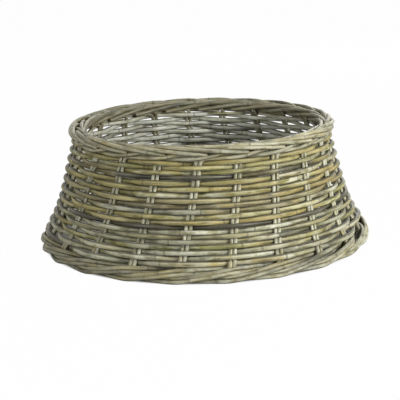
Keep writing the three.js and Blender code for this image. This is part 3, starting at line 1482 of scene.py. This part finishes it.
@dataclass
class Weavers:
    """The rods that are woven round the stakes, row on row, as one rising path.

    Attributes:
        form: The collar's form.
        stock: How canes are cut.
        radius: Half a weaver's thickness at most.
        fill: Half a weaver's thickness as a share of the way to the next row.
        reach: How far the weave swings in and out of the stakes' line, square to the wall.
        bottom: Height of the first row.
        top: Height of the last row.
        turns: How many times the rows climb.
        spread: How far up the weave the rows are, by how far up the rows.
        climb: Spaces over which a row climbs to the next.
        start: The pair where the weave starts.
        joins: The crossings where one weaver ends and the next begins.
        slots: The slot of each weaver, from the foot up.
        rings: The crossings where growth rings show in the photograph.
        tail: How far the first and last weavers thin out past the ends of the rows.
        thinned: How much thinner they get there, as a share.
        back_fill: How much thicker the weave is at the back, as a share.
        rise: The crossings between which the last row rises at the back.
        lift: How much nearer to the rim it lies there.
        near: How far up and down the wall is looked at for its slope.
        tilts: The most that the swing slopes at the back, the sides and the front, in degrees.
        butt: Half the gap between weavers that meet behind a pair.
        splice: The crossing where a weaver ends in sight.
        splice_round: How far its end there is rounded over.
        lead: How the next length starts behind it: crossings, and how far out of the wall.
        seed: Where the weavers' seeds start.
        tone_step: How far the seeds of two weavers' tones are apart.
        wanders: How smoke, warmth, wash and shade wander.
        stain: How much more smoke the dark ones have.
        haze: How much more wash the grey ones have.
        low_wash: How much more wash there is near the foot.
        low: The crossings between which that ends.
        most_smoke: The most smoke outside the stretches.
        habit: How growth rings are strewn.
        ring_end: How far rings keep from a length's ends.
        steps: Points of a weaver's line for each space.
    """

    form: CollarForm
    stock: CaneStock
    radius: float = 0.0048
    fill: float = 0.487
    reach: float = 0.0066
    bottom: float = 0.0304
    top: float = 0.1873
    turns: int = 19
    spread: tuple[Pair, ...] = (
        (0.0, 0.0),
        (0.21, 0.2075),
        (0.421, 0.3975),
        (0.632, 0.617),
        (0.842, 0.854),
        (1.0, 1.0),
    )
    climb: float = 4.0
    start: int = 12
    joins: tuple[int, ...] = (
        0, 30, 60, 90, 118, 148, 178, 208, 238, 268, 298, 326, 356, 386, 416,
    )
    slots: tuple[Slot, ...] = (
        *(Slot.GREY, Slot.GREY, Slot.OLIVE, Slot.GREY, Slot.GREY, Slot.DARK, Slot.STRAW),
        *(Slot.GREY, Slot.DARK, Slot.OLIVE, Slot.STRAW, Slot.DARK, Slot.OLIVE, Slot.STRAW),
    )
    rings: tuple[float, ...] = (
        8.59, 11.08, 32.48, 92.65, 94.99, 134.85, 136.47, 177.76, 195.16,
        219.22, 240.96, 280.55, 305.69, 385.64, 385.74, 388.2,
    )
    tail: float = 2.4
    thinned: float = 0.7
    back_fill: float = 0.07
    rise: Pair = (392.0, 396.0)
    lift: float = 0.0022
    near: float = 0.0036
    tilts: Triple = (1.0, 11.5, 16.0)
    butt: float = 0.0003
    splice: float = 303.31
    splice_round: float = 0.0026
    lead: Lead = (
        (303.12, -0.0043),
        (303.35, -0.0038),
        (303.6, -0.0032),
        (303.8, -0.0057),
    )
    seed: int = 3000
    tone_step: int = 7
    wanders: tuple[Wander, ...] = (
        Wander(50, 0.22, -0.55, 0.9),
        Wander(90, 0.3, 0.24, 0.55),
        Wander(130, 0.17, 0.34, 0.45),
        Wander(170, 0.2, 0.0, 0.40),
    )
    stain: float = 0.5
    haze: float = 0.14
    low_wash: float = 0.16
    low: Pair = (170.0, 20.0)
    most_smoke: float = 0.9
    habit: RingHabit = RingHabit((0.05, 0.2), (0.15, 0.32), 0.12)
    ring_end: float = 0.006
    steps: int = 30

    def up(self, turns: np.ndarray) -> np.ndarray:
        """How far up the weave it is after turns, from 0 to 1."""
        return np.interp(turns / self.turns, *zip(*self.spread))

    def level(self, crossing: np.ndarray) -> np.ndarray:
        """Find the height of the weave.

        Args:
            crossing: Crossings from the start, with shares between them.

        Returns:
            The heights there.
        """
        turn, within = np.divmod(crossing, self.form.pairs)
        t = ramp(within, self.form.pairs - self.climb, self.form.pairs)
        return self.bottom + (self.top - self.bottom) * self.up(turn + t * t * (3 - 2 * t))

    def slope(self, height: np.ndarray) -> np.ndarray:
        """How far the wall leans inwards at heights, in radians."""
        low, high = self.form.wall(height - self.near), self.form.wall(height + self.near)
        return np.arctan2(low - high, 2 * self.near)

    def girth(self, crossing: np.ndarray) -> np.ndarray:
        """Find how thick the weave can be on the way from one row to the next.

        Args:
            crossing: Crossings from the start, with shares between them.

        Returns:
            Half the thickness there.
        """
        turn = np.clip(crossing / self.form.pairs, 0.5, self.turns - 0.5)
        apart = (self.top - self.bottom) * (self.up(turn + 0.5) - self.up(turn - 0.5))
        apart /= np.cos(self.slope(self.level(crossing)))
        back = -np.cos(self.form.turned((self.start + crossing) * self.form.space))
        fill = self.fill * (1 + self.back_fill * np.maximum(back, 0))
        past = np.maximum(crossing - self.joins[-1], self.joins[0] - crossing)
        thin = 1 - self.thinned * ramp(past, 0, self.tail)
        return np.minimum(self.radius, fill * apart) * thin

    def rows(self, crossing: np.ndarray, lead: Lead) -> np.ndarray:
        """Place the weave at crossings.

        Args:
            crossing: Crossings from the start, with shares between them.
            lead: How far out of the wall it starts, by crossings, or nothing.

        Returns:
            Rows of angle, radius and height.
        """
        form = self.form
        angle = (self.start + crossing) * form.space + form.leaning(self.level(crossing))
        front = np.cos(form.turned(angle))
        lift = self.lift * ramp(crossing, *self.rise) * np.maximum(-front, 0)
        height = self.level(crossing) + lift
        swing = -self.reach * np.cos(math.pi * crossing)
        if lead:
            where, out = (np.array(v) for v in zip(*lead))
            leads = np.interp(crossing, where, out)
            swing = np.where(crossing < where[-1], leads, swing)
        most = np.radians(np.interp(front, (-1, 0, 1), self.tilts))
        tilt = np.minimum(self.slope(height), most)
        radius = form.wall(height) + swing * np.cos(tilt)
        return np.stack([angle, radius, height + swing * np.sin(tilt)], 1)

    def tones(self, crossing: np.ndarray, total: np.ndarray, index: int) -> np.ndarray:
        """Give a weaver its smoke, warmth, wash and shade.

        Args:
            crossing: Crossings of its points.
            total: Lengths from its start to its points.
            index: Which weaver, from 0 at the foot.

        Returns:
            One row for each point.
        """
        seed = self.seed + self.tone_step * index
        tone = np.stack([wander.at(seed, total) for wander in self.wanders], 1)
        tone[:, SMOKE] += self.stain * (self.slots[index] is Slot.DARK)
        tone[:, SMOKE] = np.clip(tone[:, SMOKE], 0, self.most_smoke)
        tone[:, WASH] += self.haze * (self.slots[index] is Slot.GREY)
        tone[:, WASH] += self.low_wash * ramp(crossing, *self.low)
        for stretch in STRETCHES:
            tone = stretch.over(tone, crossing)
        tone[:, :SHADE] = np.clip(tone[:, :SHADE], 0, 1)
        return tone

    def cane(
        self, index: int, first: float, last: float, lead: Lead = (), tip: float = 0.0006
    ) -> Cane:
        """Cut one length of a weaver.

        Args:
            index: Which weaver, from 0 at the foot.
            first: The crossing where the length starts.
            last: The crossing where it ends.
            lead: How far out of the wall it starts, by crossings, or nothing.
            tip: How far its last end is rounded over.

        Returns:
            The cane.
        """
        seed = self.seed + index + round(first)
        crossing = np.linspace(first, last, round((last - first) * self.steps))
        rows = self.rows(crossing, lead)
        dense = self.form.points(*rows.T)
        total = lengths(dense)
        shown = [float(np.interp(r, crossing, total)) for r in self.rings if first < r < last]
        knots = self.habit.strew(random.Random(seed), shown, total[-1])
        return self.stock.cut_to(
            dense,
            self.form.outward(rows[:, ANGLE]),
            self.girth(crossing),
            self.tones(crossing, total, index),
            [k for k in knots if self.ring_end < k < total[-1] - self.ring_end],
            seed,
            end_round=tip,
        )

    def build(self) -> None:
        """Make all weavers."""
        trim = self.butt / (MEAN_RADIUS * self.form.space)
        starts = [self.joins[0] - self.tail] + [join + trim for join in self.joins[1:-1]]
        ends = [join - trim for join in self.joins[1:-1]] + [self.joins[-1] + self.tail]
        for index, (slot, first, last) in enumerate(zip(self.slots, starts, ends)):
            name = f"weaver_{index + 1:02d}"
            if first < self.splice < last:
                onward = self.cane(index, self.lead[0][0], last, self.lead)
                canes = [self.cane(index, first, self.splice, tip=self.splice_round), onward]
            else:
                canes = [self.cane(index, first, last)]
            dress(self.stock.piece(f"cane_{name}", canes, slot), name, slot)


def dress(piece: bpy.types.Object, node: str, slot: Slot) -> None:
    """Let a piece stand for a node of the model.

    Args:
        piece: The piece.
        node: The node that it replaces.
        slot: The slot of its finish; not used.
    """
    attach(piece, "root")
    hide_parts(node)
    LOG.info("%s for %s, %d faces", piece.name, node, len(piece.data.polygons))


# The studio.


@dataclass(frozen=True)
class Lamp:
    """A soft square lamp that is aimed at the collar.

    Attributes:
        name: Its name.
        place: Where it hangs.
        size: The length of its sides.
        watts: Its power.
    """

    name: str
    place: Triple
    size: float
    watts: float


@dataclass(frozen=True)
class Studio:
    """The floor, the light and the camera.

    Attributes:
        eye: The camera's place.
        pitch: How far it looks down, in degrees.
        roll: How far it is turned about its own line of sight, in degrees.
        lens: Its focal length, in millimetres.
        sensor: The width of its sensor, in millimetres.
        shift: How far the picture is shifted sideways, as a share of its width.
        lamps: The lamps.
        aim: Where they are aimed.
        ambient: The strength of the light from all round.
        reach: From the floor's middle to its sides.
        grey: How light the floor is, of 255.
        glow: How far the floor glows white where the camera sees it.
        outside: The distances from the middle between which that starts.
        inside: The distances between which the weaker glow, a painted pool of light on the floor's
            middle, ends.
        painted_inner_glow: How strong that painted light is, as a share.
    """

    eye: Triple = (0.0, -2.345, 0.658)
    pitch: float = 14.11
    roll: float = -1.72
    lens: float = 118.71
    sensor: float = 36.0
    shift: float = -0.00875
    lamps: tuple[Lamp, ...] = (
        Lamp("key", (2.3, -1.65, 1.2), 1.1, 89.0),
        Lamp("top", (0.2, -0.5, 2.3), 1.4, 7.0),
        Lamp("fill", (-2.0, -2.0, 1.0), 1.6, 28.0),
        Lamp("back", (0.6, 2.5, 1.1), 1.6, 16.0),
    )
    aim: Triple = (0.0, 0.0, 0.11)
    ambient: float = 0.16
    reach: float = 12.0
    grey: int = 216
    glow: float = 0.985
    outside: Pair = (0.284, 0.296)
    inside: Pair = (0.19, 0.04)
    painted_inner_glow: float = 0.3

    def camera(self) -> None:
        """Place the camera at the photograph's view."""
        data = bpy.data.cameras.new("camera")
        data.lens = self.lens
        data.sensor_width = self.sensor
        data.shift_x = self.shift
        made = bpy.data.objects.new("camera", data)
        bpy.context.scene.collection.objects.link(made)
        tilt = Matrix.Rotation(math.radians(90 - self.pitch), 4, "X")
        turn = Matrix.Rotation(math.radians(self.roll), 4, "Z")
        made.matrix_world = Matrix.Translation(self.eye) @ tilt @ turn
        bpy.context.scene.camera = made

    def floor(self, level: float) -> None:
        """Lay the floor.

        Args:
            level: Its height.
        """
        mesh = bmesh.new()
        bmesh.ops.create_grid(mesh, x_segments=2, y_segments=2, size=self.reach)
        bmesh.ops.translate(mesh, vec=(0, 0, level), verts=mesh.verts)
        data = bpy.data.meshes.new("floor")
        mesh.to_mesh(data)
        mesh.free()
        paint = bpy.data.materials.new("floor")
        paint.use_nodes = True
        board = Board(paint.node_tree)
        grey = linear(self.grey, self.grey, self.grey)
        matt = board.node("ShaderNodeBsdfDiffuse", None, {"Color": grey})
        glow = board.node("ShaderNodeEmission", None, {"Strength": 1.0})
        seen = board.node("ShaderNodeLightPath", output="Is Camera Ray")
        place = board.node("ShaderNodeTexCoord", output="Object")
        away = board.node("ShaderNodeVectorMath", {"operation": "LENGTH"}, {0: place}, "Value")
        # Inside the collar a weaker glow paints light on the floor's middle, darker towards the
        # wall.
        white = away.band(*self.outside) + self.painted_inner_glow * away.band(*self.inside)
        share = seen * white * self.glow
        both = board.node("ShaderNodeMixShader", None, {0: share, 1: matt, 2: glow})
        board.node("ShaderNodeOutputMaterial", None, {"Surface": both})
        data.materials.append(paint)
        made = bpy.data.objects.new("floor", data)
        bpy.context.scene.collection.objects.link(made)
        made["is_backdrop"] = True

    def world(self) -> None:
        """Light the room softly, white where the camera, gloss or glass sees it."""
        made = bpy.data.worlds.new("studio")
        made.use_nodes = True
        bpy.context.scene.world = made
        board = Board(made.node_tree)
        path = board.node("ShaderNodeLightPath").socket.node
        camera, gloss, glass = (
            Signal(board, path.outputs[f"Is {ray} Ray"])
            for ray in ("Camera", "Glossy", "Transmission")
        )
        seen = (camera + gloss + glass).held()
        strength = self.ambient + (1 - self.ambient) * seen
        glow = board.node(
            "ShaderNodeBackground", None, {"Color": linear(255, 255, 255), "Strength": strength}
        )
        board.node("ShaderNodeOutputWorld", None, {"Surface": glow})

    def light(self) -> None:
        """Hang the lamps."""
        for lamp in self.lamps:
            data = bpy.data.lights.new(lamp.name, "AREA")
            data.shape = "SQUARE"
            data.size = lamp.size
            data.energy = lamp.watts
            made = bpy.data.objects.new(lamp.name, data)
            bpy.context.scene.collection.objects.link(made)
            ahead = Vector(self.aim) - Vector(lamp.place)
            turn = ahead.to_track_quat("-Z", "Y").to_matrix().to_4x4()
            made.matrix_world = Matrix.Translation(lamp.place) @ turn


def main() -> None:
    """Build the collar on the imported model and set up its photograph."""
    logging.basicConfig(level=logging.INFO, format="%(message)s")
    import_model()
    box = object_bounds()
    bpy.context.scene.view_settings.view_transform = "Standard"
    studio = Studio()
    studio.camera()
    for finish in FINISHES:
        finish.material()
    form = CollarForm()
    Stakes(form, CaneStock()).build()
    Weavers(form, CaneStock(oval=0.06)).build()
    studio.world()
    studio.light()
    studio.floor(box[0][2])


if __name__ == "__main__":
    main()
